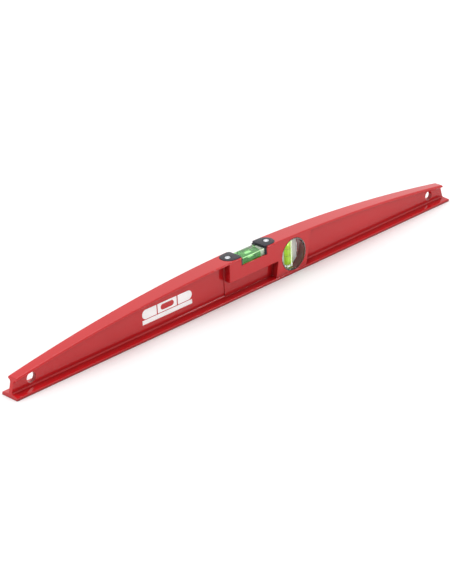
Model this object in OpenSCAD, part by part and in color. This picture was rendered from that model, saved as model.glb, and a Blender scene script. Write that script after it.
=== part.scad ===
// Cast spirit level with an arched I-section body, a horizontal vial in a window
// at the top and a round plumb vial beside it.
// Origin: centre of the base face. +X along the level, +Y across it, +Z up.

/* [Casting] */
// Length of the measuring face
level_len = 600; // [400:10:800]
// Width of the measuring face
base_w = 21.7; // [20:0.1:30]
// Height of the body at mid length
mid_h = 41.6; // [40:0.1:50]
// Radius of the arched top, seen from the side
arch_r = 1907; // [1700:1:3000]
// Width of the top flange at its ends
end_flange_w = 11.5; // [8:0.5:20]
// Thickness of the web
web_t = 4.4; // [3:0.1:6]
// Thickness of the base flange at its edge
base_edge_t = 2.6; // [2:0.1:4]
// Thickness of the top flange at its edge
top_edge_t = 2.0; // [1.5:0.1:3]
// Radius of the fillets between the web and the flanges
fillet_r = 2.8; // [2:0.1:3]
// Radius of the fillet between the web and the base flange
base_fillet_r = 1.6; // [1:0.1:3]
// How far the raked ends lean in, for each millimetre of height
end_rake = 0.285; // [0:0.005:0.4]

/* [Centre block] */
// Width of the block that holds both vials
block_w = 20.2; // [20:0.1:20.6]
// Left end of the block
block_left = -32.4; // [-36:0.1:-32]
// Right end of the block at its top
block_right = 83; // [80:0.5:95]
// Right end of the block at its foot
block_right_foot = 74.2; // [74:0.1:80]
// Right end of the finger pocket at its top
pocket_right = 34.8; // [34:0.1:36]
// Right end of the finger pocket at its foot
pocket_right_foot = 31; // [28:0.5:33]
// Height of the roof of the finger pocket
pocket_h = 19.6; // [18:0.1:20]
// Thickness of the core wall in the finger pocket
core_t = 6.2; // [5:0.1:8]

/* [Hang holes] */
// Distance of each hang hole from mid length
hang_x = 275.4; // [150:0.2:280]
// Height of the hang holes
hang_z = 11.5; // [11:0.1:12]
// Radius of the hang holes
hang_r = 5; // [3:0.1:5]

/* [Horizontal vial] */
// Middle of the vial along the level
vial_x = 1.6; // [0:0.1:1.6]
// Height of the axis of the vial's bore
vial_z = 33.6; // [33.4:0.1:33.8]
// Height of the vial block's top face
vial_top = 39.2; // [39:0.1:39.3]
// Width of the vial block
vial_w = 16.6; // [15:0.1:16.8]
// Radius of the vial block's upper edges
vial_edge_r = 1.3; // [0.5:0.1:2]
// Radius of the vial's bore
vial_bore_r = 4.6; // [4:0.1:4.8]
// Length of the column of liquid
liquid_len = 24.4; // [24:0.1:26]
// Length of the open window over the vial
window_len = 35.4; // [34:0.1:38]
// Height of the window's sill
window_sill = 32.7; // [31.5:0.1:33]
// Radius of the bubble
bubble_r = 1.8; // [1.5:0.1:1.8]
// Length of the bubble
bubble_len = 9; // [8:0.5:9]
// How far the bubble runs to each side
bubble_travel = 7.2; // [5:0.1:7.2]

/* [Vial holders] */
// Height of the machined seat under each holder
seat_z = 39.4; // [39:0.1:39.6]
// Thickness of the holder's top plate
holder_t = 2.5; // [2.3:0.1:2.6]
// Distance of the holder's straight edge from the middle of the vial
holder_dx = 15.8; // [15:0.1:16]
// Distance of the middle of the holder's round end from the middle of the vial
holder_round_dx = 24.6; // [24:0.1:25]
// Radius of the round outer end of a holder
holder_r = 9.6; // [9:0.1:9.7]
// Distance of each screw from the middle of the vial
screw_dx = 26.8; // [25:0.1:27]

/* [Plumb vial] */
// Middle of the plumb vial along the level
plumb_x = 57.2; // [56:0.1:57.5]
// Height of the plumb vial's middle
plumb_z = 19.9; // [19.6:0.1:20.4]
// Radius of the hole for the plumb vial
plumb_hole_r = 17.1; // [17:0.1:17.4]
// Side of the plumb vial's square block
plumb_w = 8; // [7.6:0.1:8]
// Radius of the block's upright edges
plumb_edge_r = 0.8; // [0.4:0.1:1.2]
// Radius of the plumb vial's bore
plumb_bore_r = 3.2; // [3:0.1:3.3]
// Length of the block
plumb_len = 31; // [29:0.1:31]
// Length of the column of liquid in the plumb vial
plumb_liquid_len = 26; // [24:0.5:26]
// Radius of the plumb vial's bubble
plumb_bubble_r = 1.9; // [1.6:0.1:2]
// Length of the plumb vial's bubble
plumb_bubble_len = 5.6; // [5:0.1:6]

/* [Print] */
// Left end of the white mark
mark_left = -141; // [-180:1:-130]
// Length of the white mark
mark_len = 64; // [40:1:80]

/* [Hidden] */

$fn = 96;
eps = 0.01;          // overlap that keeps a cut clean
arch_fn = 900;       // fragments in the full circle of the arched top
over = 60;           // taller and wider than any section of the body
flange_depth = 10;   // depth of a flange's section, fillet included
web_root = 1;        // how far the web and core wall run into the flanges
block_draft = 0.6;   // lean of the block's left face
core_step = 1.6;     // how far the core wall shows past the block's left face
foot_lean = 1;       // how far the block's right faces run on into the base

base_slope = 6;      // rise of the base flange towards the web, in degrees
top_slope = 7;       // fall of the top flange towards the web, in degrees
taper_bend = 90;     // length over which the flange's taper sets in
taper_steps = 12;    // straight stretches in each half of the taper
arch_z = mid_h - arch_r;
arch_half_angle = asin(level_len / 2 / arch_r) + 0.3;

fit_gap = 0.05;      // gap round a piece pushed into its seat
bay_half_len = 20;   // half length of the bay under the holders
bay_w = 17;          // width of the bay
bay_floor = 25.8;    // height of the bay's floor
collar_t = 4.1;      // thickness of a holder's collar along the vial
collar_w = 16.8;     // width of a holder's collar
spigot_len = 3.4;    // how far a plug runs on into its holder
corner_r = 2.5;      // radius of a holder's inner corners
bed_top = 28;        // height of the bed under the vial
line_w = 0.5;        // width of a reference line
line_t = 0.2;        // thickness of a reference line
bubble_gap = 0.15;   // gap between a bubble and the liquid round its path

bubble_roof = 0.4;   // liquid left over the bubble

vial_len = 2 * (holder_dx - fit_gap);
bubble_z = vial_z + vial_bore_r - bubble_r - bubble_roof;
line_dx = (bubble_len + line_w) / 2 + 0.25;
plug_len = holder_dx + spigot_len - liquid_len / 2;

screw_r = 1.5;       // radius of the screw's shank
screw_len = 9;       // length of the shank under the head
head_r = 3.1;        // radius of the screw's head
head_t = 1.4;        // height of the screw's head
sink_r = 3.5;        // radius of the sunk seat for the head
sink_depth = 1.1;    // depth of the sunk seat
cross_w = 0.8;       // width of the cross recess
cross_len = 3.4;     // length of the cross recess
cross_depth = 0.9;   // depth of the cross recess
holder_top = seat_z + holder_t;

bezel_wall = 1;      // wall of a bezel ring
bezel_set = 0.4;     // how far a bezel lies below the block's face
hole_chamfer = 0.8;  // depth of the chamfer round the plumb vial's hole
hole_flare = 1.2;    // widening of the hole past its face, at the chamfer's outer end
frame_t = 2;         // thickness of the plumb vial's frame
frame_w = 26.8;      // width of the frame between its two straight sides
bubble_stop = 0.3;   // liquid left past the plumb bubble's stops
plumb_line_dz = 3.6;
plumb_plug_len = (plumb_len - plumb_liquid_len) / 2;
plumb_bubble_rest = (plumb_liquid_len - plumb_bubble_len) / 2 - bubble_stop;
plumb_travel = 2 * plumb_bubble_rest;

mark_t = 0.12;       // thickness of the white print
mark_z = 12.4;       // height of the mark's lower edge
mark_bar_h = 4.4;    // height of the mark's bar
mark_vial_h = 9.6;   // height of the vial shape over the bar
mark_gap = 0.8;      // gap between the bar and the vial shape
mark_line_dx = 13;   // distance of the vial shape's lines from its middle
mark_line_w = 1.4;   // width of those lines
mark_bubble_dx = 5.6; // half length of the bubble shape between its round ends
mark_bubble_r = 2.9; // radius of the bubble shape's round ends

red = [0.78, 0.16, 0.17];
charcoal = [0.2, 0.2, 0.23];
clear = [0.9, 0.94, 0.92, 0.4];
green = [0.25, 0.62, 0.3, 0.8];
lime = [0.66, 0.82, 0.25, 0.8];

// Points of an arc about c, from angle a0 to angle a1
function arc_points(c, r, a0, a1, n) =
    [for (i = [0:n]) c + r * [cos(a0 + (a1 - a0) * i / n), sin(a0 + (a1 - a0) * i / n)]];

// Half of a flange's section as [distance from the web's middle, depth from its outer face]:
// the outer face, the edge, the sloping inner face and the fillet up to the web
function flange_half(w, edge_t, slope, r, depth) =
    let (
        yc = web_t / 2 + r,
        zc = edge_t + (w / 2 - yc) * tan(slope) + r / cos(slope)
    )
    concat(
        [[0, 0], [w / 2, 0], [w / 2, edge_t]],
        arc_points([yc, zc], r, 270 - slope, 180, 10),
        [[web_t / 2, depth], [0, depth]]
    );

// Half width of the top flange at a distance x from mid length
function flange_half_w(x) =
    let (
        drop = (base_w - end_flange_w) / 2,
        run = sqrt(pow(level_len / 2, 2) + pow(taper_bend, 2)) - taper_bend
    )
    base_w / 2 - drop * (sqrt(x * x + taper_bend * taper_bend) - taper_bend) / run;

function taper_stations() =
    [for (i = [-taper_steps:taper_steps]) i * (level_len / 2) / taper_steps];

// Extrudes a side view, drawn as [x, z], to a width w centred on the web
module side_view(w) {
    rotate([90, 0, 0])
        translate([0, 0, -w / 2])
            linear_extrude(w) children();
}

// A round bar along X, centred on x
module bar_x(x, z, r, len) {
    translate([x - len / 2, 0, z])
        rotate([0, 90, 0]) cylinder(r = r, h = len);
}

// A round bar with domed ends, standing along Z and centred on the origin
module capsule(r, len) {
    rotate_extrude()
        polygon(concat(
            arc_points([0, len / 2 - r], r, 90, 0, 12),
            arc_points([0, r - len / 2], r, 0, -90, 12)
        ));
}

module arch_body(drop) {
    translate([0, 0, arch_z])
        rotate([90, 0, 0])
            translate([0, 0, -over / 2])
                cylinder(r = arch_r - drop, h = over, $fn = arch_fn);
}

module base_flange() {
    rotate([90, 0, 90])
        translate([0, 0, -level_len / 2])
            linear_extrude(level_len)
                for (side = [0, 1]) mirror([side, 0])
                    polygon(flange_half(base_w, base_edge_t, base_slope, base_fillet_r,
                                        flange_depth));
}

module top_flange() {
    section = flange_half(base_w, top_edge_t, top_slope, fillet_r, flange_depth);
    intersection() {
        translate([0, 0, arch_z])
            rotate([90, 0, 0])
                rotate([0, 0, 90 - arch_half_angle])
                    rotate_extrude(angle = 2 * arch_half_angle, $fn = arch_fn)
                        for (side = [0, 1]) mirror([0, side])
                            polygon([for (p = section) [arch_r - p[1], p[0]]]);
        linear_extrude(over)
            polygon(concat(
                [for (x = taper_stations()) [x, -flange_half_w(x)]],
                [for (x = taper_stations()) [-x, flange_half_w(x)]]
            ));
    }
}

module web() {
    intersection() {
        translate([-level_len / 2, -web_t / 2, web_root])
            cube([level_len, web_t, over]);
        arch_body(web_root);
    }
}

module centre_block() {
    intersection() {
        union() {
            side_view(block_w)
                polygon([
                    [block_left - block_draft, pocket_h], [block_left, mid_h],
                    [block_right, mid_h], [block_right_foot - foot_lean, 0],
                    [pocket_right_foot - foot_lean, 0], [pocket_right, pocket_h]
                ]);
            side_view(core_t)
                polygon([
                    [block_left - core_step, web_root], [block_left - core_step, mid_h],
                    [pocket_right, mid_h], [pocket_right, web_root]
                ]);
        }
        arch_body(0);
    }
}

// The D shape of a holder's plate, made larger all round by grow
module holder_plate_shape(grow) {
    edge = holder_dx - grow;
    half_w = holder_r + grow;
    translate([holder_round_dx, 0]) intersection() {
        circle(r = half_w);
        translate([-eps, -half_w]) square(2 * half_w);
    }
    translate([edge + corner_r, -half_w])
        square([holder_round_dx - edge - corner_r, 2 * half_w]);
    translate([edge, corner_r - half_w]) square([corner_r + eps, 2 * (half_w - corner_r)]);
    for (side = [-1, 1])
        translate([edge + corner_r, side * (half_w - corner_r)]) circle(r = corner_r);
}

module bay_and_window() {
    translate([vial_x - bay_half_len, -bay_w / 2, bay_floor])
        cube([2 * bay_half_len, bay_w, over]);
    translate([vial_x - window_len / 2, -over / 2, window_sill])
        cube([window_len, over, over]);
    for (side = [0, 1]) translate([vial_x, 0, 0]) mirror([side, 0, 0]) {
        translate([0, 0, seat_z]) linear_extrude(over) holder_plate_shape(fit_gap);
        translate([screw_dx, 0, seat_z - screw_len])
            cylinder(r = screw_r + fit_gap, h = over);
    }
}

module plumb_hole() {
    translate([plumb_x, 0, plumb_z]) rotate([90, 0, 0]) {
        translate([0, 0, -over / 2]) cylinder(r = plumb_hole_r + fit_gap, h = over);
        for (side = [0, 1]) mirror([0, 0, side])
            translate([0, 0, block_w / 2 - hole_chamfer])
                cylinder(r1 = plumb_hole_r, r2 = plumb_hole_r + hole_flare,
                         h = 1.5 * hole_chamfer);
    }
}

module hang_hole(x) {
    translate([x, over / 2, hang_z])
        rotate([90, 0, 0]) cylinder(r = hang_r, h = over);
}

module casting() {
    color(red) difference() {
        intersection() {
            union() {
                base_flange();
                top_flange();
                web();
                centre_block();
            }
            side_view(over)
                polygon([
                    [-level_len / 2, 0], [level_len / 2, 0],
                    [level_len / 2 - end_rake * over, over],
                    [end_rake * over - level_len / 2, over]
                ]);
        }
        bay_and_window();
        plumb_hole();
        hang_hole(hang_x);
        hang_hole(-hang_x);
    }
}

// The resin bed that holds the vial level with the measuring face
module vial_bed() {
    color("ivory")
        translate([vial_x - vial_len / 2, -collar_w / 2, bay_floor])
            cube([vial_len, collar_w, bed_top - bay_floor]);
}

// The clear block, with rounded upper edges, that has the bore along it
module vial_block() {
    shoulder = vial_top - vial_edge_r;
    color(clear) difference() {
        translate([vial_x - vial_len / 2, 0, 0]) rotate([90, 0, 90]) linear_extrude(vial_len) {
            translate([-vial_w / 2, bed_top]) square([vial_w, shoulder - bed_top]);
            translate([vial_edge_r - vial_w / 2, shoulder - eps])
                square([vial_w - 2 * vial_edge_r, vial_edge_r + eps]);
            for (side = [-1, 1])
                translate([side * (vial_w / 2 - vial_edge_r), shoulder]) circle(r = vial_edge_r);
        }
        bar_x(vial_x, vial_z, vial_bore_r, vial_len + 1);
    }
}

module vial_plug(side) {
    color("white")
        bar_x(vial_x + side * (liquid_len + plug_len) / 2, vial_z, vial_bore_r, plug_len);
}

module vial_plug_left() { vial_plug(-1); }

module vial_plug_right() { vial_plug(1); }

module vial_line(side) {
    x = vial_x + side * line_dx;
    color("black") difference() {
        bar_x(x, vial_z, vial_bore_r, line_w);
        bar_x(x, vial_z, vial_bore_r - line_t, line_w + 1);
    }
}

module vial_line_left() { vial_line(-1); }

module vial_line_right() { vial_line(1); }

module vial_liquid() {
    path_len = bubble_len + 2 * bubble_travel + 2 * bubble_gap;
    color(green) difference() {
        bar_x(vial_x, vial_z, vial_bore_r, liquid_len);
        for (side = [-1, 1]) difference() {
            bar_x(vial_x + side * line_dx, vial_z, vial_bore_r + 1, line_w);
            bar_x(vial_x + side * line_dx, vial_z, vial_bore_r - line_t, line_w + 1);
        }
        translate([vial_x, 0, bubble_z])
            rotate([0, 90, 0]) capsule(bubble_r + bubble_gap, path_len);
    }
}

module vial_bubble() {
    color("white") translate([vial_x, 0, bubble_z])
        rotate([0, 90, 0]) capsule(bubble_r, bubble_len);
}

// A holder: a D-shaped plate screwed on top, a cheek that closes the window's end
// and a collar with a socket for the end of the vial's plug
module holder() {
    difference() {
        union() {
            translate([0, 0, seat_z + fit_gap])
                linear_extrude(holder_t - fit_gap) holder_plate_shape(0);
            translate([holder_dx, -holder_r, window_sill + fit_gap])
                cube([window_len / 2 - fit_gap - holder_dx, 2 * holder_r, seat_z - window_sill]);
            translate([holder_dx, -collar_w / 2, bay_floor + fit_gap])
                cube([collar_t, collar_w, seat_z - bay_floor]);
        }
        bar_x(0, vial_z, vial_bore_r + fit_gap, 2 * (holder_dx + spigot_len + fit_gap));
        translate([screw_dx, 0, 0]) cylinder(r = screw_r + fit_gap, h = over);
        translate([screw_dx, 0, holder_top - sink_depth]) cylinder(r = sink_r, h = over);
    }
}

module holder_right() {
    color(charcoal) translate([vial_x, 0, 0]) holder();
}

module holder_left() {
    color(charcoal) translate([vial_x, 0, 0]) mirror([1, 0, 0]) holder();
}

module holder_screw() {
    head_z = holder_top - sink_depth;
    difference() {
        union() {
            translate([0, 0, head_z - screw_len]) cylinder(r = screw_r, h = screw_len + eps);
            translate([0, 0, head_z]) rotate_extrude()
                polygon(concat(
                    [[0, 0], [head_r, 0], [head_r, head_t / 3]],
                    arc_points([head_r - 2 * head_t / 3, head_t / 3], 2 * head_t / 3, 0, 90, 8),
                    [[0, head_t]]
                ));
        }
        for (turn = [0, 90])
            translate([0, 0, head_z + head_t - cross_depth / 2 + eps]) rotate([0, 0, turn + 30])
                cube([cross_len, cross_w, cross_depth + eps], center = true);
    }
}

// Both holder screws, as two separate solids
module holder_screws() {
    color("silver")
        for (side = [-1, 1])
            translate([vial_x + side * screw_dx, 0, 0]) holder_screw();
}

// Places a piece turned about the plumb vial's hole, with its Z along the hole
module at_plumb_hole() {
    translate([plumb_x, 0, plumb_z]) rotate([90, 0, 0]) children();
}

// The white frame across the hole that carries the plumb vial. Its front face is on the
// mid plane of the level, and it is open at both sides
module plumb_frame() {
    slot_w = plumb_w + 2 * fit_gap;
    color("white") difference() {
        intersection() {
            at_plumb_hole()
                translate([0, 0, -frame_t]) cylinder(r = plumb_hole_r, h = frame_t);
            translate([plumb_x - frame_w / 2, -over / 2, -over / 2]) cube([frame_w, over, 2 * over]);
        }
        translate([plumb_x - slot_w / 2, -over / 2, plumb_z - plumb_len / 2 - fit_gap])
            cube([slot_w, over, plumb_len + 2 * fit_gap]);
    }
}

// A clear ring that lines the hole from near its face to the frame
module plumb_bezel(side, inner_end) {
    depth = block_w / 2 - bezel_set - inner_end;
    color(clear) at_plumb_hole() mirror([0, 0, side])
        translate([0, 0, inner_end]) difference() {
            cylinder(r = plumb_hole_r, h = depth);
            translate([0, 0, -1]) cylinder(r = plumb_hole_r - bezel_wall, h = depth + 2);
        }
}

module plumb_bezel_front() { plumb_bezel(0, 0); }

module plumb_bezel_back() { plumb_bezel(1, frame_t); }

module at_plumb_vial(dz) {
    translate([plumb_x, 0, plumb_z + dz]) children();
}

// The clear square block, with rounded upright edges, that has the bore along it
module plumb_block() {
    core_w = plumb_w - 2 * plumb_edge_r;
    color(clear) at_plumb_vial(-plumb_len / 2) difference() {
        linear_extrude(plumb_len) {
            square([plumb_w, core_w], center = true);
            square([core_w, plumb_w], center = true);
            for (x = [-1, 1], y = [-1, 1])
                translate([x, y] * core_w / 2) circle(r = plumb_edge_r);
        }
        translate([0, 0, -1]) cylinder(r = plumb_bore_r, h = plumb_len + 2);
    }
}

module plumb_plug(z) {
    color(clear) at_plumb_vial(z) cylinder(r = plumb_bore_r, h = plumb_plug_len);
}

module plumb_plug_top() { plumb_plug(plumb_liquid_len / 2); }

module plumb_plug_bottom() { plumb_plug(-plumb_len / 2); }

module plumb_line(side) {
    color("black") at_plumb_vial(side * plumb_line_dz - line_w / 2) difference() {
        cylinder(r = plumb_bore_r, h = line_w);
        translate([0, 0, -1]) cylinder(r = plumb_bore_r - line_t, h = line_w + 2);
    }
}

module plumb_line_upper() { plumb_line(1); }

module plumb_line_lower() { plumb_line(-1); }

module plumb_liquid() {
    path_len = plumb_bubble_len + plumb_travel + 2 * bubble_gap;
    color(lime) difference() {
        at_plumb_vial(-plumb_liquid_len / 2) cylinder(r = plumb_bore_r, h = plumb_liquid_len);
        for (side = [-1, 1])
            at_plumb_vial(side * plumb_line_dz - line_w / 2) difference() {
                cylinder(r = plumb_bore_r + 1, h = line_w);
                translate([0, 0, -1]) cylinder(r = plumb_bore_r - line_t, h = line_w + 2);
            }
        at_plumb_vial(0) capsule(plumb_bubble_r + bubble_gap, path_len);
    }
}

// With the level lying flat this bubble rests at the top of its bore
module plumb_bubble() {
    color("white") at_plumb_vial(plumb_bubble_rest)
        capsule(plumb_bubble_r, plumb_bubble_len);
}

// A plain white mark printed on the web: a bar under the outline of a vial
module front_mark() {
    r = mark_vial_h / 2;
    vial_y = mark_z + mark_bar_h + mark_gap + r;
    mid_x = mark_left + mark_len / 2;
    color("white") translate([0, -web_t / 2, 0]) rotate([90, 0, 0])
        linear_extrude(mark_t) {
            translate([mark_left, mark_z]) square([mark_len, mark_bar_h]);
            difference() {
                union() {
                    translate([mark_left + r, vial_y - r])
                        square([mark_len - 2 * r, mark_vial_h]);
                    for (side = [-1, 1])
                        translate([mid_x + side * (mark_len / 2 - r), vial_y]) circle(r = r);
                }
                for (side = [-1, 1]) {
                    translate([mid_x + side * mark_line_dx - mark_line_w / 2, vial_y - over / 2])
                        square([mark_line_w, over]);
                    translate([mid_x + side * mark_bubble_dx, vial_y])
                        circle(r = mark_bubble_r);
                }
                translate([mid_x - mark_bubble_dx, vial_y - mark_bubble_r])
                    square([2 * mark_bubble_dx, 2 * mark_bubble_r]);
            }
        }
}

casting();
vial_bed();
vial_block();
vial_plug_left();
vial_plug_right();
vial_liquid();
vial_line_left();
vial_line_right();
vial_bubble();
holder_left();
holder_right();
holder_screws();
plumb_frame();
plumb_bezel_front();
plumb_bezel_back();
plumb_block();
plumb_plug_top();
plumb_plug_bottom();
plumb_liquid();
plumb_line_upper();
plumb_line_lower();
plumb_bubble();
front_mark();
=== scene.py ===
"""Looks of a cast spirit level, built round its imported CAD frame."""
import math

import bmesh
import bpy
from mathutils import Matrix, Vector


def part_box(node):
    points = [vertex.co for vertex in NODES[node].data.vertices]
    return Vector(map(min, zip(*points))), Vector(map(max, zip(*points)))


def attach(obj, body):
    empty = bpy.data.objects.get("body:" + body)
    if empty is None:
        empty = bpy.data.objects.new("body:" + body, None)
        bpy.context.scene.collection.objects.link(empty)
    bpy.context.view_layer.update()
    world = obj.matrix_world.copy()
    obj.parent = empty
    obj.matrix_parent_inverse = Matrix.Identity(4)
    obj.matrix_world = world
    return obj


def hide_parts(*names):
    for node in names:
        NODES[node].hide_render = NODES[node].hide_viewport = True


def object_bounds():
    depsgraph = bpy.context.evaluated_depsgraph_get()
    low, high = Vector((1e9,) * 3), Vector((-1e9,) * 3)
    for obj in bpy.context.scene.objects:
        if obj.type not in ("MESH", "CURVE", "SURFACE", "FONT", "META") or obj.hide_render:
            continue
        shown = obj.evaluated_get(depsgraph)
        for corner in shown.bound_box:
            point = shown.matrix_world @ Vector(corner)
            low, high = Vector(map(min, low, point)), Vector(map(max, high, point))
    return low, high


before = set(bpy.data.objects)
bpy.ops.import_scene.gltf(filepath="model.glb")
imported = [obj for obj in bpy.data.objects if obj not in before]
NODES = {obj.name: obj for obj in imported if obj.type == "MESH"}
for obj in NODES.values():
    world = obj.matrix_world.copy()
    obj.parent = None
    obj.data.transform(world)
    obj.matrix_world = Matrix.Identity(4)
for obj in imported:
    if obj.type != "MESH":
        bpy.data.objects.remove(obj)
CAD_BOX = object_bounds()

MM = 0.001
BODY = "level"
SCENE = bpy.context.scene

# ---------------------------------------------------------------- sizes, in millimetres
HALF_LEN = CAD_BOX[1].x / MM
HALF_BASE = CAD_BOX[1].y / MM
MID_H = 41.6              # height of the body at mid length
ARCH_R = 1907.0           # radius of the arched top
HALF_END_FLANGE = 5.75    # half width of the top flange at its ends
TAPER_BEND = 90.0         # length over which the flange's taper sets in
WEB = 2.2                 # half thickness of the web
FILLET = 2.8              # fillet between the web and the top flange
BASE_FILLET = 1.6         # fillet between the web and the base flange
BASE_EDGE = 2.6           # thickness of the base flange at its edge
TOP_EDGE = 2.0            # thickness of the top flange at its edge
TOP_ROUND = 0.9           # rounding of the top flange's upper edges at mid length
TOP_ROUND_GAIN = 0.8      # how much larger that rounding is at the ends
BASE_SLOPE = math.radians(6)
TOP_SLOPE = math.radians(7)
RAKE = 0.285              # lean of the raked ends

HALF_BLOCK = 10.1         # half width of the centre block
BLOCK_LEFT = -32.4
BLOCK_RIGHT = 83.0
BLOCK_FOOT_RIGHT = 74.2
POCKET_RIGHT = 34.8
POCKET_FOOT_RIGHT = 31.0
POCKET_H = 19.6
HALF_CORE = 3.1           # half thickness of the wall in the finger pocket

HANG_X = 275.4
HANG_Z = 11.5
HANG_R = 5.0

WINDOW_HALF = 17.7        # half length of the window over the vial
WINDOW_SILL = 32.7
BAY_HALF_LEN = 20.0
BAY_HALF_W = 8.5
BAY_FLOOR = 25.8
SEAT_Z = 39.4             # machined seat under each holder
HOLDER_TOP = 41.9
HOLDER_R = 9.6
HOLDER_EDGE = 15.8        # straight edge of a holder, from the vial's middle
HOLDER_CENTRE = 24.6      # middle of a holder's round end
HOLDER_CORNER = 2.5
COLLAR_T = 4.1
COLLAR_HALF_W = 8.4
SCREW_DX = 26.8
SINK_R = 3.5
SINK_DEPTH = 1.1
BORE_R = 4.6
BLOCK_TOP = 39.2          # top of the clear vial block
BLOCK_BOTTOM = 28.06      # just clear of the bed
BLOCK_HALF_W = 8.3
BLOCK_EDGE = 1.3          # radius of the vial block's upper edges
SPIGOT = 3.4              # how far a plug runs on into its holder

PLUMB_HOLE_R = 17.1
PLUMB_FACE_R = 17.95      # radius of the plumb hole's rounded rim at the block's face
FRAME_HALF_W = 13.4       # half width of the plumb vial's frame
PLUMB_EDGE = 0.8          # radius of the plumb block's upright edges
LINE_W = 0.4              # width of a reference line
BEZEL_T = 1.0             # thickness of a bezel's ring
LINE_T = 0.08             # thickness of a reference line

CLEAR = 0.01              # keeps a surface off one that it would otherwise share
SKIN = 0.02               # keeps a piece just inside its CAD solid
GAP = 0.05                # play between a fitted piece and its seat
SEAT_GAP = 0.25           # play round a holder in its seat
PAST = 3                  # how far a hole's cutter runs past the faces
ABOVE = MID_H + 10        # top of a cutter that opens upwards
MERGE = 1e-4              # points closer than this become one
SMOOTH = 32.0             # edges sharper than this many degrees stay sharp


def centre_of(node):
    low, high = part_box(node)
    return (Vector(low) + Vector(high)) / 2 / MM


VIAL = centre_of("vial_liquid")
PLUMB = centre_of("plumb_block")


# ---------------------------------------------------------------- mesh helpers
def finish_mesh(name, bm, smooth=SMOOTH):
    """Turns a bmesh drawn in millimetres into a smooth-shaded object in metres."""
    bmesh.ops.remove_doubles(bm, verts=bm.verts, dist=MERGE)
    bmesh.ops.recalc_face_normals(bm, faces=bm.faces)
    if bm.calc_volume(signed=True) < 0:
        bmesh.ops.reverse_faces(bm, faces=bm.faces)
    bmesh.ops.scale(bm, vec=(MM, MM, MM), verts=bm.verts)
    mesh = bpy.data.meshes.new(name)
    bm.to_mesh(mesh)
    bm.free()
    ob = bpy.data.objects.new(name, mesh)
    SCENE.collection.objects.link(ob)
    shade(ob, smooth)
    return ob


def shade(ob, smooth=SMOOTH):
    ob.data.shade_smooth()
    ob.data.set_sharp_from_angle(angle=math.radians(smooth))


def combine(target, tool, operation):
    """Joins tool to target, or cuts it away, and discards it."""
    mod = target.modifiers.new("combine", "BOOLEAN")
    mod.object = tool
    mod.operation = operation
    mod.solver = "EXACT"
    graph = bpy.context.evaluated_depsgraph_get()
    result = bpy.data.meshes.new_from_object(target.evaluated_get(graph))
    old = target.data
    target.modifiers.remove(mod)
    target.data = result
    bpy.data.meshes.remove(old)
    tool_mesh = tool.data
    bpy.data.objects.remove(tool)
    bpy.data.meshes.remove(tool_mesh)


def arc(cy, cz, r, start, end, steps):
    """Points of an arc from angle start to angle end, in radians."""
    angles = [start + (end - start) * i / steps for i in range(steps + 1)]
    return [(cy + r * math.cos(a), cz + r * math.sin(a)) for a in angles]


def skin(bm, rings):
    """Joins closed rings of points with quads and closes both ends."""
    loops = [[bm.verts.new(p) for p in ring] for ring in rings]
    n = len(loops[0])
    for a, b in zip(loops, loops[1:]):
        for i in range(n):
            j = (i + 1) % n
            bm.faces.new((a[i], a[j], b[j], b[i]))
    bm.faces.new(loops[0])
    bm.faces.new(list(reversed(loops[-1])))


def round_edges(bm, edges, radius, segments=3):
    bmesh.ops.bevel(bm, geom=edges, offset=radius, offset_type="OFFSET", segments=segments,
                    profile=0.5, affect="EDGES", clamp_overlap=True)


def end_rounding(reach, r):
    """Stations (x, inset) of an end rounded by r: x runs out to reach while the section shrinks."""
    turns = [math.radians(a) for a in (30, 60, 90)]
    return [(reach - r + r * math.sin(t), r * (1 - math.cos(t))) for t in turns]


def lathe(name, profile, centre, axis, steps=96, smooth=SMOOTH):
    """Turns (radius, height) points about an axis through centre. A profile that starts and ends on the
    axis gives a solid, and any other one is closed into a ring."""
    bm = bmesh.new()
    turn = {"X": Matrix.Rotation(math.pi / 2, 4, "Y"), "Y": Matrix.Rotation(math.pi / 2, 4, "X"),
            "Z": Matrix.Identity(4)}[axis]
    place = Matrix.Translation(centre) @ turn
    loops = []
    for k in range(steps):
        a = 2 * math.pi * k / steps
        loops.append([bm.verts.new(place @ Vector((r * math.cos(a), r * math.sin(a), h)))
                      for r, h in profile])
    solid = profile[0][0] == 0 and profile[-1][0] == 0
    spans = len(profile) - 1 if solid else len(profile)
    for k in range(steps):
        a, b = loops[k], loops[(k + 1) % steps]
        for i in range(spans):
            j = (i + 1) % len(profile)
            bm.faces.new((a[i], a[j], b[j], b[i]))
    bmesh.ops.remove_doubles(bm, verts=bm.verts, dist=MERGE)
    bmesh.ops.dissolve_degenerate(bm, dist=1e-5, edges=bm.edges)
    return finish_mesh(name, bm, smooth)


def slab(name, outline, y0, y1, bevel=0.0, keep=None):
    """Extrudes an outline of (x, z) points from y0 to y1. Edges that keep(edge) doesn't hold back are
    rounded by bevel."""
    bm = bmesh.new()
    skin(bm, [[(x, y, z) for x, z in outline] for y in (y0, y1)])
    bmesh.ops.recalc_face_normals(bm, faces=bm.faces)
    if bevel:
        round_edges(bm, [e for e in bm.edges if not (keep and keep(e))], bevel)
    return finish_mesh(name, bm)


def plate(name, outline, z0, z1, bevel=0.0, segments=3):
    """Extrudes an outline of (x, y) points from z0 to z1. Creases are rounded by bevel."""
    crease = 0.5
    bm = bmesh.new()
    skin(bm, [[(x, y, z) for x, y in outline] for z in (z0, z1)])
    bmesh.ops.recalc_face_normals(bm, faces=bm.faces)
    if bevel:
        round_edges(bm, [e for e in bm.edges if e.calc_face_angle(0) > crease], bevel, segments)
    return finish_mesh(name, bm)


# ---------------------------------------------------------------- the casting
def arch_height(x):
    return MID_H - ARCH_R + math.sqrt(ARCH_R ** 2 - x * x)


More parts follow.
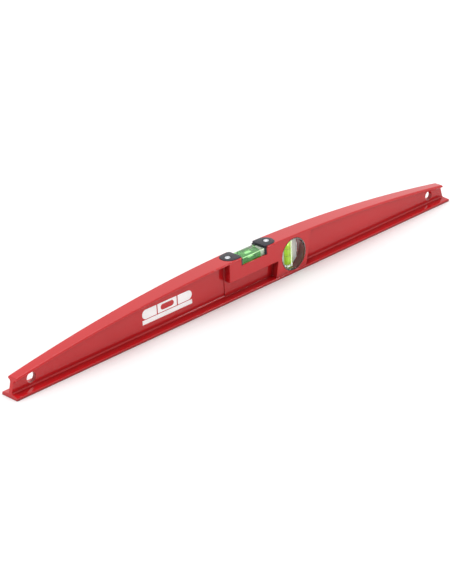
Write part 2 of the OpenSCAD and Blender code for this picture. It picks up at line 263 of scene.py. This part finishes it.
def flange_half(x):
    run = math.hypot(HALF_LEN, TAPER_BEND) - TAPER_BEND
    return HALF_BASE - (HALF_BASE - HALF_END_FLANGE) * (math.hypot(x, TAPER_BEND) - TAPER_BEND) / run


def half_section(half_top, top_z, top_round):
    """One side of the I-section as (y, z), from the middle of the base to the middle of the top."""
    foot_round, edge_round, lip_round = 0.35, 0.7, 0.45
    quarter = math.pi / 2

    def base_line(y):
        return BASE_EDGE + (HALF_BASE - y) * math.tan(BASE_SLOPE)

    def top_line(y):
        return top_z - TOP_EDGE - (HALF_BASE - y) * math.tan(TOP_SLOPE)

    points = [(0, 0), (HALF_BASE / 2, 0)]
    points += arc(HALF_BASE - foot_round, foot_round, foot_round, -quarter, 0, 3)
    y = HALF_BASE - edge_round
    edge_z = base_line(y) - edge_round / math.cos(BASE_SLOPE)
    points += arc(y, edge_z, edge_round, 0, quarter - BASE_SLOPE, 4)
    base_y = WEB + BASE_FILLET
    base_z = base_line(base_y) + BASE_FILLET / math.cos(BASE_SLOPE)
    points += arc(base_y, base_z, BASE_FILLET, 3 * quarter - BASE_SLOPE, 2 * quarter, 7)
    fillet_y = WEB + FILLET
    fillet_z = top_line(fillet_y) - FILLET / math.cos(TOP_SLOPE)
    points += arc(fillet_y, fillet_z, FILLET, 2 * quarter, quarter + TOP_SLOPE, 7)
    y = half_top - lip_round
    lip_z = top_line(y) + lip_round / math.cos(TOP_SLOPE)
    points += arc(y, lip_z, lip_round, TOP_SLOPE - quarter, 0, 3)
    points += arc(half_top - top_round, top_z - top_round, top_round, 0, quarter, 5)
    points += [(half_top / 2, top_z), (0, top_z)]
    return points


def inset(points, amount):
    """Moves each point of a closed outline inwards."""
    out = []
    n = len(points)
    for i, (y, z) in enumerate(points):
        y0, z0 = points[i - 1]
        y1, z1 = points[(i + 1) % n]
        ty, tz = y1 - y0, z1 - z0
        size = math.hypot(ty, tz)
        out.append((y - amount * tz / size, z + amount * ty / size))
    return out


def section_ring(u, shrink):
    """The closed section at station u, leaning with the raked ends."""
    top_z = arch_height(u)
    for _ in range(3):  # the lean moves the top inwards, and its height settles in three rounds
        top_z = arch_height(u * (1 - RAKE * top_z / HALF_LEN))
    top_x = u * (1 - RAKE * top_z / HALF_LEN)
    top_round = TOP_ROUND + TOP_ROUND_GAIN * (abs(u) / HALF_LEN) ** 2
    half = half_section(flange_half(top_x), top_z, top_round)
    loop = half + [(-y, z) for y, z in reversed(half[1:-1])]
    if shrink:
        loop = inset(loop, shrink)
    return [(u * (1 - RAKE * z / HALF_LEN), y, z) for y, z in loop]


def rail():
    """The I-section body from end to end, with rounded ends."""
    end_round = 0.3  # less than the section's smallest rounding, or the end would cross itself
    steps = 40
    inner = HALF_LEN - end_round
    middle = [(inner * i / steps, 0.0) for i in range(-steps, steps + 1)]
    ends = end_rounding(HALF_LEN, end_round)
    stations = [(-u, shrink) for u, shrink in reversed(ends)] + middle + ends
    bm = bmesh.new()
    skin(bm, [section_ring(u, shrink) for u, shrink in stations])
    return finish_mesh("casting_body", bm)


def block():
    """The block round both vials. Its top and foot end inside the flanges."""
    steps = 10
    xs = [BLOCK_LEFT + (BLOCK_RIGHT - BLOCK_LEFT) * i / steps for i in range(steps + 1)]
    sunk = 1.3
    foot = 1.0
    lean = 0.6
    in_flange = MID_H - 4
    outline = [(BLOCK_LEFT - lean, POCKET_H)]
    outline += [(x, arch_height(x) - sunk) for x in xs]
    outline += [(BLOCK_FOOT_RIGHT, foot), (POCKET_FOOT_RIGHT, foot), (POCKET_RIGHT, POCKET_H)]

    def hidden(edge):
        height = sum(v.co.z for v in edge.verts) / 2
        across = abs(edge.verts[0].co.y - edge.verts[1].co.y) > 1
        high = min(v.co.z for v in edge.verts) > in_flange
        return height < foot + 0.1 or high or (across and height > in_flange)

    return slab("block", outline, -HALF_BLOCK, HALF_BLOCK, bevel=0.7, keep=hidden)


def core():
    """The wall in the finger pocket, a little thicker than the web."""
    left = BLOCK_LEFT - 1.6
    foot, top = 3.0, MID_H - 3
    outline = [(left, foot), (left, top), (POCKET_RIGHT, top), (POCKET_RIGHT, foot)]
    return slab("core", outline, -HALF_CORE, HALF_CORE, bevel=0.5)


def window_cutter():
    """A box that flares where it leaves the block's faces, which rounds the window's edges."""
    r = 0.6
    top = MID_H + 20
    stations = [(HALF_BASE + 2, r)]
    for a in (90, 60, 30, 0):
        t = math.radians(a)
        stations.append((HALF_BLOCK - r + r * math.sin(t), r * (1 - math.cos(t))))
    stations += [(-y, e) for y, e in reversed(stations)]
    rings = []
    for y, e in stations:
        x0, x1 = VIAL.x - WINDOW_HALF - e, VIAL.x + WINDOW_HALF + e
        z0 = WINDOW_SILL - e
        rings.append([(x0, y, z0), (x1, y, z0), (x1, y, top), (x0, y, top)])
    bm = bmesh.new()
    skin(bm, rings)
    return finish_mesh("window", bm)


def flared_hole(name, x, z, r, face_y, flare, round_depth):
    """A cutter for a round hole across the body whose rims are rounded."""
    turns = [math.radians(a) for a in (0, 22, 45, 67, 90)]
    rim = [(r + flare * (1 - math.cos(t)), face_y - round_depth * (1 - math.sin(t))) for t in turns]
    far = face_y + PAST
    rim.append((r + flare, far))
    profile = [(0, -far)] + [(a, -b) for a, b in reversed(rim)] + rim + [(0, far)]
    return lathe(name, profile, (x, 0, z), "Y", steps=128)


def holder_outline(side, grow=0.0):
    """The D shape of a holder, as (x, y), for the left (-1) or right (1) end."""
    r = HOLDER_R + grow
    edge = HOLDER_EDGE - grow + HOLDER_CORNER
    inner = r - HOLDER_CORNER
    quarter = math.pi / 2
    points = arc(edge, -inner, HOLDER_CORNER, 2 * quarter, 3 * quarter, 7)
    points += arc(HOLDER_CENTRE, 0, r, -quarter, quarter, 30)
    points += arc(edge, inner, HOLDER_CORNER, quarter, 2 * quarter, 7)
    return [(VIAL.x + side * x, y) for x, y in points]


def make_casting():
    ob = rail()
    rim = 0.5
    for side in (-1, 1):
        hole = flared_hole("hang", side * HANG_X, HANG_Z, HANG_R, WEB + CLEAR, rim, rim)
        combine(ob, hole, "DIFFERENCE")
    combine(ob, block(), "UNION")
    combine(ob, core(), "UNION")
    combine(ob, window_cutter(), "DIFFERENCE")
    bay = [(VIAL.x - BAY_HALF_LEN, BAY_FLOOR), (VIAL.x + BAY_HALF_LEN, BAY_FLOOR),
           (VIAL.x + BAY_HALF_LEN, ABOVE), (VIAL.x - BAY_HALF_LEN, ABOVE)]
    combine(ob, slab("bay", bay, -BAY_HALF_W, BAY_HALF_W), "DIFFERENCE")
    for side in (-1, 1):
        seat = plate("seat", holder_outline(side, SEAT_GAP), SEAT_Z, ABOVE)
        combine(ob, seat, "DIFFERENCE")
    flare = PLUMB_FACE_R - PLUMB_HOLE_R
    hole = flared_hole("plumb", PLUMB.x, PLUMB.z, PLUMB_HOLE_R, HALF_BLOCK + CLEAR, flare, flare)
    combine(ob, hole, "DIFFERENCE")
    shade(ob)
    normals = ob.modifiers.new("even_shading", "WEIGHTED_NORMAL")
    normals.keep_sharp = True
    return ob


# ---------------------------------------------------------------- holders and screws
def make_holder(side):
    """The D-shaped plate with rounded edges, the cheek in the window's end and the socketed collar."""
    name = "holder_left_cover" if side < 0 else "holder_right_cover"
    small_round = 0.25
    ob = plate(name, holder_outline(side), SEAT_Z + GAP, HOLDER_TOP, bevel=0.55, segments=4)
    middle = VIAL.x

    def box_outline(near, far):
        xs = (middle + side * near, middle + side * far)
        return [(min(xs), 0), (max(xs), 0)]

    cheek = box_outline(HOLDER_EDGE, WINDOW_HALF - GAP)
    top = SEAT_Z + 0.6
    wall = [(x, z) for x, z in ((cheek[0][0], WINDOW_SILL + GAP), (cheek[1][0], WINDOW_SILL + GAP),
                                (cheek[1][0], top), (cheek[0][0], top))]
    combine(ob, slab("cheek", wall, -HOLDER_R, HOLDER_R, bevel=small_round), "UNION")
    collar = box_outline(HOLDER_EDGE + SKIN, HOLDER_EDGE + COLLAR_T)
    wall = [(collar[0][0], BAY_FLOOR + GAP), (collar[1][0], BAY_FLOOR + GAP), (collar[1][0], top - 0.1),
            (collar[0][0], top - 0.1)]
    combine(ob, slab("collar", wall, -COLLAR_HALF_W, COLLAR_HALF_W, bevel=small_round), "UNION")
    reach = HOLDER_EDGE + SPIGOT + GAP
    socket = lathe("socket", [(0, -reach), (BORE_R + GAP, -reach), (BORE_R + GAP, reach), (0, reach)],
                   (middle, 0, VIAL.z), "X", steps=64)
    combine(ob, socket, "DIFFERENCE")
    floor = HOLDER_TOP - SINK_DEPTH
    lip = 0.3
    sink = lathe("sink", [(0, floor), (SINK_R - lip, floor), (SINK_R, floor + lip),
                          (SINK_R, HOLDER_TOP - lip), (SINK_R + lip, HOLDER_TOP + SKIN),
                          (SINK_R + lip, HOLDER_TOP + 1), (0, HOLDER_TOP + 1)],
                 (middle + side * SCREW_DX, 0, 0), "Z", steps=64)
    combine(ob, sink, "DIFFERENCE")
    shade(ob)
    return ob


def make_screws():
    """Both pan-head screws, each with a tapered cross recess and a short plain shank."""
    head_z = HOLDER_TOP - SINK_DEPTH
    head_r, head_t, dome = 3.05, 1.38, 0.95
    shank_r, tip_r = 1.45, 1.1
    tip_z, taper_z = head_z - 8.9, head_z - 8.4
    both = None
    for side in (-1, 1):
        place = (VIAL.x + side * SCREW_DX, 0, 0)
        profile = [(0, tip_z), (tip_r, tip_z), (shank_r, taper_z), (shank_r, head_z),
                   (head_r - 0.15, head_z), (head_r, head_z + 0.12)]
        profile += arc(head_r - dome, head_z + head_t - dome, dome, 0, math.pi / 2, 9)
        profile += [(1.2, head_z + head_t + 0.01), (0, head_z + head_t + 0.02)]
        screw = lathe("holder_screw_pair", profile, place, "Z", steps=64)
        for turn in (30, 120):
            cut = bpy.data.objects.new("cross", cross_blade(place, head_z + head_t, turn))
            SCENE.collection.objects.link(cut)
            combine(screw, cut, "DIFFERENCE")
        if both is None:
            both = screw
        else:
            combine(both, screw, "UNION")
    shade(both)
    return both


def cross_blade(place, top, turn):
    """A blade that narrows downwards, for one slot of a cross recess."""
    depth = 0.85
    levels = ((top - depth, 0.9, 0.22), (top - 0.25, 1.6, 0.38), (top + 0.5, 1.8, 0.5))
    rings = []
    for z, half_len, half_w in levels:
        rings.append([(-half_len, -half_w, z), (half_len, -half_w, z), (half_len, half_w, z),
                      (-half_len, half_w, z)])
    bm = bmesh.new()
    skin(bm, rings)
    bmesh.ops.recalc_face_normals(bm, faces=bm.faces)
    bm.transform(Matrix.Translation(place) @ Matrix.Rotation(math.radians(turn), 4, "Z"))
    bmesh.ops.scale(bm, vec=(MM, MM, MM), verts=bm.verts)
    mesh = bpy.data.meshes.new("cross")
    bm.to_mesh(mesh)
    bm.free()
    return mesh


# ---------------------------------------------------------------- vials
def make_vial_block():
    """The clear block: rounded upper edges along it and finely rounded ends."""
    end_gap = 0.06
    half = HOLDER_EDGE - end_gap
    end_round = 0.25
    quarter = math.pi / 2
    side = BLOCK_HALF_W - BLOCK_EDGE
    shoulder = BLOCK_TOP - BLOCK_EDGE
    foot = 0.3
    loop = arc(BLOCK_HALF_W - foot, BLOCK_BOTTOM + foot, foot, -quarter, 0, 3)
    loop += arc(side, shoulder, BLOCK_EDGE, 0, quarter, 10)
    loop += [(-y, z) for y, z in reversed(loop)]
    stations = [(half - end_round, 0.0)] + end_rounding(half, end_round)
    stations = [(-x, e) for x, e in reversed(stations)] + stations
    rings = []
    for x, shrink in stations:
        pts = inset(loop, shrink) if shrink else loop
        rings.append([(VIAL.x + x, y, z) for y, z in pts])
    bm = bmesh.new()
    skin(bm, rings)
    return finish_mesh("vial_body", bm, smooth=20)


def rod(name, centre, axis, r, half_len, rim, steps=96):
    """A polished round rod with rounded rims."""
    quarter = math.pi / 2
    low = [(a, -b) for a, b in reversed(arc(r - rim, half_len - rim, rim, 0, quarter, 5))]
    high = arc(r - rim, half_len - rim, rim, 0, quarter, 5)
    return lathe(name, [(0, -half_len)] + low + high + [(0, half_len)], centre, axis, steps)


def bubble(name, node, axis):
    """An air bubble: a long drop with softly domed ends, inside its CAD capsule."""
    low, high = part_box(node)
    low, high = Vector(low) / MM, Vector(high) / MM
    size = high - low
    half = max(size) / 2
    r = min(size) / 2
    steps = 18
    fullness = 3.2  # 2 is an ellipse, and more is nearer a cylinder
    profile = []
    for i in range(steps + 1):
        t = -1 + 2 * i / steps
        t = math.sin(t * math.pi / 2)
        profile.append((r * (1 - abs(t) ** fullness) ** 0.5, t * half))
    profile[0] = (0, -half)
    profile[-1] = (0, half)
    return lathe(name, profile, (low + high) / 2, axis, steps=48, smooth=60)


def ring(name, centre, axis, r_in, r_out, half_len, rim, steps=128):
    """A ring with rounded rims."""
    quarter = math.pi / 2
    outer_high = arc(r_out - rim, half_len - rim, rim, 0, quarter, 4)
    inner_high = arc(r_in + rim, half_len - rim, rim, quarter, 2 * quarter, 4)
    inner_low = [(a, -b) for a, b in reversed(inner_high)]
    outer_low = [(a, -b) for a, b in reversed(outer_high)]
    return lathe(name, outer_high + inner_high + inner_low + outer_low, centre, axis, steps)


def rounded_square(half, r):
    """The outline of the plumb block's section, as (x, y)."""
    inner = half - r
    quarter = math.pi / 2
    points = []
    for turn, (x, y) in enumerate(((1, 1), (-1, 1), (-1, -1), (1, -1))):
        points += arc(x * inner, y * inner, r, turn * quarter, (turn + 1) * quarter, 8)
    return [(PLUMB.x + x, PLUMB.y + y) for x, y in points]


def make_plumb_block():
    """The clear square block of the plumb vial, with rounded edges."""
    low, high = (Vector(c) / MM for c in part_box("plumb_block"))
    half = (high.x - low.x) / 2 - CLEAR
    return plate("plumb_body", rounded_square(half, PLUMB_EDGE), low.z, high.z, bevel=0.3)


def make_plumb_frame():
    """The white frame across the plumb hole: a disc with two straight sides and the block's slot."""
    low, high = (Vector(c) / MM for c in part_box("plumb_frame"))
    block_low, block_high = (Vector(c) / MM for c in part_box("plumb_block"))
    mid = (low + high) / 2
    half_t = (high.y - low.y) / 2
    quarter = math.pi / 2
    rim = 0.4
    top = arc(PLUMB_HOLE_R - rim, half_t - rim, rim, 0, quarter, 4)
    low_rim = [(a, -b) for a, b in reversed(top)]
    ob = lathe("plumb_frame_disc", [(0, -half_t)] + low_rim + top + [(0, half_t)], mid, "Y", steps=128)
    reach = PLUMB_HOLE_R + 2
    flare = 0.35
    w = FRAME_HALF_W
    sides = [(mid.x - w, mid.z - reach), (mid.x + w, mid.z - reach), (mid.x + w, mid.z + reach),
             (mid.x - w, mid.z + reach)]
    combine(ob, slab("sides", sides, low.y - 1, high.y + 1), "INTERSECT")
    xs = (block_low.x - GAP, block_high.x + GAP)
    zs = (block_low.z - GAP, block_high.z + GAP)
    rings = []
    for y, e in ((low.y - 2, flare), (low.y, flare), (low.y + flare, 0), (high.y - flare, 0),
                 (high.y, flare), (high.y + 2, flare)):
        rings.append([(xs[0] - e, y, zs[0]), (xs[1] + e, y, zs[0]), (xs[1] + e, y, zs[1]),
                      (xs[0] - e, y, zs[1])])
    bm = bmesh.new()
    skin(bm, rings)
    combine(ob, finish_mesh("slot", bm), "DIFFERENCE")
    shade(ob)
    return ob


# ---------------------------------------------------------------- materials
def srgb(r, g, b):
    """A linear colour from 0-255 display values."""
    def linear(v):
        v /= 255
        return v / 12.92 if v <= 0.04045 else ((v + 0.055) / 1.055) ** 2.4
    return (linear(r), linear(g), linear(b), 1.0)


class Nodes:
    """Short helpers over one material's node tree."""

    def __init__(self, name):
        self.material = bpy.data.materials.new(name)
        self.material.use_nodes = True
        self.tree = self.material.node_tree
        self.shader = self.tree.nodes["Principled BSDF"]
        self.coords = self.tree.nodes.new("ShaderNodeTexCoord").outputs["Object"]

    def add(self, kind, **values):
        node = self.tree.nodes.new(kind)
        for key, value in values.items():
            if key in node.inputs:
                node.inputs[key].default_value = value
            else:
                setattr(node, key, value)
        return node

    def link(self, source, target):
        self.tree.links.new(source, target)

    def set(self, **values):
        for key, value in values.items():
            self.shader.inputs[key.replace("_", " ")].default_value = value

    def noise(self, scale, detail=3.0):
        node = self.add("ShaderNodeTexNoise", Scale=scale, Detail=detail, Roughness=0.5)
        self.link(self.coords, node.inputs["Vector"])
        return node.outputs["Fac"]

    def spread(self, source, low, high, from_low=0.3, from_high=0.7):
        node = self.add("ShaderNodeMapRange")
        node.inputs["From Min"].default_value = from_low
        node.inputs["From Max"].default_value = from_high
        node.inputs["To Min"].default_value = low
        node.inputs["To Max"].default_value = high
        self.link(source, node.inputs["Value"])
        return node.outputs["Result"]

    def mix(self, factor, a, b):
        node = self.add("ShaderNodeMix", data_type="RGBA")
        self.link(factor, node.inputs[0])
        node.inputs[6].default_value = a
        node.inputs[7].default_value = b
        return node.outputs[2]

    def bump(self, height, distance, strength=1.0, after=None):
        node = self.add("ShaderNodeBump", Strength=strength, Distance=distance)
        self.link(height, node.inputs["Height"])
        if after:
            self.link(after, node.inputs["Normal"])
        return node.outputs["Normal"]

    def soft_edges(self, radius):
        node = self.add("ShaderNodeBevel", Radius=radius)
        node.samples = 4
        return node.outputs["Normal"]


def red_coat():
    """Glossy powder coat: fine orange peel and faint random tone variation, with painted shade: an
    ambient-occlusion mask darkens the base colour to a deeper red in the corners and creases."""
    m = Nodes("red_powder_coat")
    darker, lighter = (0.52, 0.009, 0.012, 1), (0.58, 0.011, 0.015, 1)
    # painted shade: the dark red that the corners and creases are given
    painted_corner_shade = (0.27, 0.004, 0.006, 1)
    color = m.mix(m.spread(m.noise(9.0, 2.0), 0.0, 1.0), darker, lighter)
    # painted shade: ambient occlusion within 14 mm darkens the colour where shade falls
    corner = m.add("ShaderNodeAmbientOcclusion", Distance=14 * MM)
    corner.samples = 8
    corner_shade_mix = m.add("ShaderNodeMix", data_type="RGBA")
    m.link(m.spread(corner.outputs["AO"], 0.0, 1.0, 0.45, 0.85), corner_shade_mix.inputs[0])
    corner_shade_mix.inputs[6].default_value = painted_corner_shade
    m.link(color, corner_shade_mix.inputs[7])
    m.link(corner_shade_mix.outputs[2], m.shader.inputs["Base Color"])
    m.link(m.spread(m.noise(140.0, 3.0), 0.03, 0.08), m.shader.inputs["Roughness"])
    edge = m.soft_edges(0.25 * MM)
    peel = m.bump(m.noise(520.0, 2.0), 0.03 * MM, 0.35, edge)
    wave = m.bump(m.noise(45.0, 2.0), 0.12 * MM, 0.3, peel)
    m.link(wave, m.shader.inputs["Normal"])
    m.set(IOR=1.48)
    return m.material


def plain(name, color, rough, grain, depth, **values):
    """A moulded or printed surface with a fine grain."""
    m = Nodes(name)
    tint = tuple(c * 1.12 for c in color[:3]) + (1,)
    m.link(m.mix(m.spread(m.noise(60.0), 0, 1), color, tint), m.shader.inputs["Base Color"])
    m.link(m.spread(m.noise(grain / 3), rough * 0.85, rough * 1.15), m.shader.inputs["Roughness"])
    m.link(m.bump(m.noise(grain), depth * MM, 0.5, m.soft_edges(0.15 * MM)), m.shader.inputs["Normal"])
    m.set(**values)
    return m.material


def zinc():
    m = Nodes("zinc_plated_steel")
    m.link(m.mix(m.spread(m.noise(300.0), 0, 1), srgb(205, 208, 214), srgb(232, 234, 238)),
           m.shader.inputs["Base Color"])
    m.link(m.spread(m.noise(900.0), 0.16, 0.34), m.shader.inputs["Roughness"])
    m.link(m.bump(m.noise(1500.0), 0.02 * MM, 0.4, m.soft_edges(0.1 * MM)), m.shader.inputs["Normal"])
    m.set(Metallic=1.0)
    return m.material


def rippled(name):
    """A material with the faint ripples of polished acrylic."""
    m = Nodes(name)
    m.link(m.bump(m.noise(70.0, 1.0), 0.02 * MM, 0.25), m.shader.inputs["Normal"])
    return m


def clear(name, color, ior):
    """Clear, tinted acrylic."""
    m = rippled(name)
    m.set(Base_Color=color, Roughness=0.0, IOR=ior, Transmission_Weight=1.0)
    return m.material


def painted_edge_highlight(name, color, ior, painted_light_color, strength):
    """Clear acrylic with a painted highlight: its rounded edges emit light, which imitates edges that
    pipe light. The painted highlight is where the surface faces between the axes."""
    m = rippled(name)
    split = m.add("ShaderNodeSeparateXYZ")
    m.link(m.add("ShaderNodeNewGeometry").outputs["Normal"], split.inputs[0])
    largest = None
    for axis in "XYZ":
        size = m.add("ShaderNodeMath", operation="ABSOLUTE")
        m.link(split.outputs[axis], size.inputs[0])
        if largest is None:
            largest = size.outputs[0]
            continue
        top = m.add("ShaderNodeMath", operation="MAXIMUM")
        m.link(largest, top.inputs[0])
        m.link(size.outputs[0], top.inputs[1])
        largest = top.outputs[0]
    # painted highlight: emission on the rounded edges, where no single axis dominates the normal
    m.link(m.spread(largest, 0.0, strength, 0.97, 0.82), m.shader.inputs["Emission Strength"])
    m.set(Base_Color=color, Roughness=0.0, IOR=ior, Transmission_Weight=1.0, Emission_Color=painted_light_color)
    return m.material


def dyed_with_painted_light(name, color, painted_light_color, strength, clarity):
    """A liquid or bubble that is partly clear and partly milky, with painted light: it emits a little so
    that it shows.
    """
    m = rippled(name)
    m.set(Base_Color=color, Roughness=0.0, IOR=1.01, Transmission_Weight=clarity,
          Emission_Color=painted_light_color, Emission_Strength=strength)
    return m.material


def coat(ob, material):
    ob.data.materials.clear()
    ob.data.materials.append(material)


def recoat(node, material):
    """Gives a carried-over CAD node a procedural material."""
    for slot in NODES[node].material_slots:
        slot.material = material


# ---------------------------------------------------------------- stage, light and camera
def make_floor():
    bpy.ops.mesh.primitive_plane_add(size=14, location=(0, 0, -0.0001))
    floor = bpy.context.object
    floor.name = "floor"
    m = Nodes("pale_floor")
    m.set(Base_Color=(0.92, 0.92, 0.92, 1), Roughness=0.6)
    coat(floor, m.material)


def make_world():
    """White light from all round, dimmer from the front, where -Y is."""
    front, front_ends = -0.85, -0.45
    dimmest, full = 0.6, 1.0
    world = bpy.data.worlds.new("studio")
    SCENE.world = world
    world.use_nodes = True
    background = world.node_tree.nodes["Background"]
    background.inputs["Color"].default_value = (1, 1, 1, 1)
    tree = world.node_tree
    split = tree.nodes.new("ShaderNodeSeparateXYZ")
    tree.links.new(tree.nodes.new("ShaderNodeTexCoord").outputs["Generated"], split.inputs[0])
    dim = tree.nodes.new("ShaderNodeMapRange")
    dim.inputs["From Min"].default_value = front
    dim.inputs["From Max"].default_value = front_ends
    dim.inputs["To Min"].default_value = dimmest
    dim.inputs["To Max"].default_value = full
    tree.links.new(split.outputs["Y"], dim.inputs["Value"])
    tree.links.new(dim.outputs["Result"], background.inputs["Strength"])


def make_lamp(name, place, size, power):
    """A square lamp that faces the origin."""
    data = bpy.data.lights.new(name, "AREA")
    data.size = size
    data.energy = power
    lamp = bpy.data.objects.new(name, data)
    lamp.location = place
    lamp.rotation_euler = (-Vector(place)).to_track_quat("-Z", "Y").to_euler()
    SCENE.collection.objects.link(lamp)


def make_camera():
    """The photograph's viewpoint."""
    azimuth, elevation, roll = math.radians(-43.537), math.radians(24.920), math.radians(-2.820)
    distance = 1.80948
    aim = Vector((-0.029565, 0, 0.00635))
    back = Vector((math.sin(azimuth) * math.cos(elevation), -math.cos(azimuth) * math.cos(elevation),
                   math.sin(elevation)))
    level_right = Vector((math.cos(azimuth), math.sin(azimuth), 0))
    level_up = back.cross(level_right)
    right = math.cos(roll) * level_right + math.sin(roll) * level_up
    up = back.cross(right)
    data = bpy.data.cameras.new("camera")
    data.sensor_width = 36.0
    data.lens = 114.42
    data.clip_end = 50
    camera = bpy.data.objects.new("camera", data)
    turn = Matrix((right, up, back)).transposed().to_4x4()
    camera.matrix_world = Matrix.Translation(aim + back * distance) @ turn
    SCENE.collection.objects.link(camera)
    SCENE.camera = camera


# ---------------------------------------------------------------- assembly
def add_piece(ob, name, material, slot_name, *nodes, body=BODY):
    """Gives a finished piece its name, material and body, and hides the CAD nodes it stands for."""
    ob.name = name
    coat(ob, material)
    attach(ob, body)
    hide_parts(*nodes)


def half_size(node):
    """Half of a node's size along X, Y and Z, in millimetres."""
    low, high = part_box(node)
    return [(b - a) / 2 / MM for a, b in zip(low, high)]


make_camera()
make_floor()
make_world()
make_lamp("top", (0.1, 0.3, 1.9), size=1.6, power=15.0)
make_lamp("strip", (0.99, -1.24, 0.18), size=0.22, power=1.6)
SCENE.view_settings.view_transform = "Standard"

add_piece(make_casting(), "cast_body", red_coat(), "red_coat", "casting")

black = plain("black_nylon", (0.016, 0.015, 0.023, 1), 0.28, 700.0, 0.03, IOR=1.36)
add_piece(make_holder(-1), "holder_left_cover", black, "black_plastic", "holder_left")
add_piece(make_holder(1), "holder_right_cover", black, "black_plastic", "holder_right")
add_piece(make_screws(), "holder_screw_pair", zinc(), "zinc_steel", "holder_screws")

white = plain("white_plastic", (0.88, 0.88, 0.84, 1), 0.3, 400.0, 0.02)
acrylic = clear("clear_acrylic", (0.96, 0.99, 0.96, 1), 1.49)
# painted highlight: the vial block's rounded edges emit light
vial_acrylic_painted_edges = painted_edge_highlight("vial_acrylic_painted_edges", (0.90, 0.98, 0.88, 1), 1.49, (0.75, 0.95, 0.60, 1), 0.7)
plug = clear("plug_acrylic", (0.97, 0.99, 0.97, 1), 1.01)
# painted light: the liquids and the bubble emit a little, though they are not lamps
green = dyed_with_painted_light("green_liquid", (0.22, 0.62, 0.20, 1), (0.04, 0.26, 0.05, 1), 0.16, 0.66)
lime = dyed_with_painted_light("lime_liquid", (0.55, 0.84, 0.10, 1), (0.35, 0.50, 0.02, 1), 0.25, 0.6)
air = dyed_with_painted_light("air_bubble", (0.95, 1.0, 0.90, 1), (0.95, 1.0, 0.85, 1), 0.65, 0.4)

add_piece(make_vial_block(), "vial_body", vial_acrylic_painted_edges, "clear_acrylic", "vial_block")
half_len = half_size("vial_liquid")[0] - SKIN
liquid = rod("vial_fluid", VIAL, "X", BORE_R - SKIN, half_len, 0.25)
add_piece(liquid, "vial_fluid", green, "green_liquid", "vial_liquid")
for node in ("vial_plug_left", "vial_plug_right"):
    half_len = half_size(node)[0] - SKIN
    end_plug = rod("plug", centre_of(node), "X", BORE_R - SKIN, half_len, 0.2)
    add_piece(end_plug, node + "_rod", white, "white_plastic", node)
add_piece(bubble("bubble", "vial_bubble", "X"), "vial_air", air, "bubble", "vial_bubble",
          body="horizontal_bubble")

add_piece(make_plumb_frame(), "plumb_frame_disc", white, "white_plastic", "plumb_frame")
for node in ("plumb_bezel_front", "plumb_bezel_back"):
    half_t = half_size(node)[1] - SKIN
    bezel = ring("bezel", centre_of(node), "Y", PLUMB_HOLE_R - BEZEL_T, PLUMB_HOLE_R - SKIN, half_t, 0.4)
    add_piece(bezel, node + "_ring", acrylic, "clear_acrylic", node)
add_piece(make_plumb_block(), "plumb_body", acrylic, "clear_acrylic", "plumb_block")
for node, material, slot_name in (("plumb_liquid", lime, "lime_liquid"),
                                  ("plumb_plug_top", plug, "clear_acrylic"),
                                  ("plumb_plug_bottom", plug, "clear_acrylic")):
    r, _, half_h = half_size(node)
    filling = rod("filling", centre_of(node), "Z", r - SKIN, half_h - SKIN, 0.25)
    add_piece(filling, node + "_rod", material, slot_name, node)
add_piece(bubble("bubble", "plumb_bubble", "Z"), "plumb_air", air, "bubble", "plumb_bubble",
          body="vertical_bubble")

ink = plain("black_ink", (0.02, 0.02, 0.02, 1), 0.4, 900.0, 0.01)
for node, axis in (("vial_line_left", "X"), ("vial_line_right", "X"), ("plumb_line_upper", "Z"),
                   ("plumb_line_lower", "Z")):
    r = half_size(node)[1] - SKIN
    line = ring("line", centre_of(node), axis, r - LINE_T, r, LINE_W / 2, 0.02)
    add_piece(line, node + "_ring", ink, "black_line", node)

resin = plain("cast_resin", (0.80, 0.80, 0.74, 1), 0.5, 300.0, 0.06)
paint = plain("white_print", (0.95, 0.95, 0.94, 1), 0.35, 800.0, 0.01)
recoat("vial_bed", resin)
recoat("front_mark", paint)
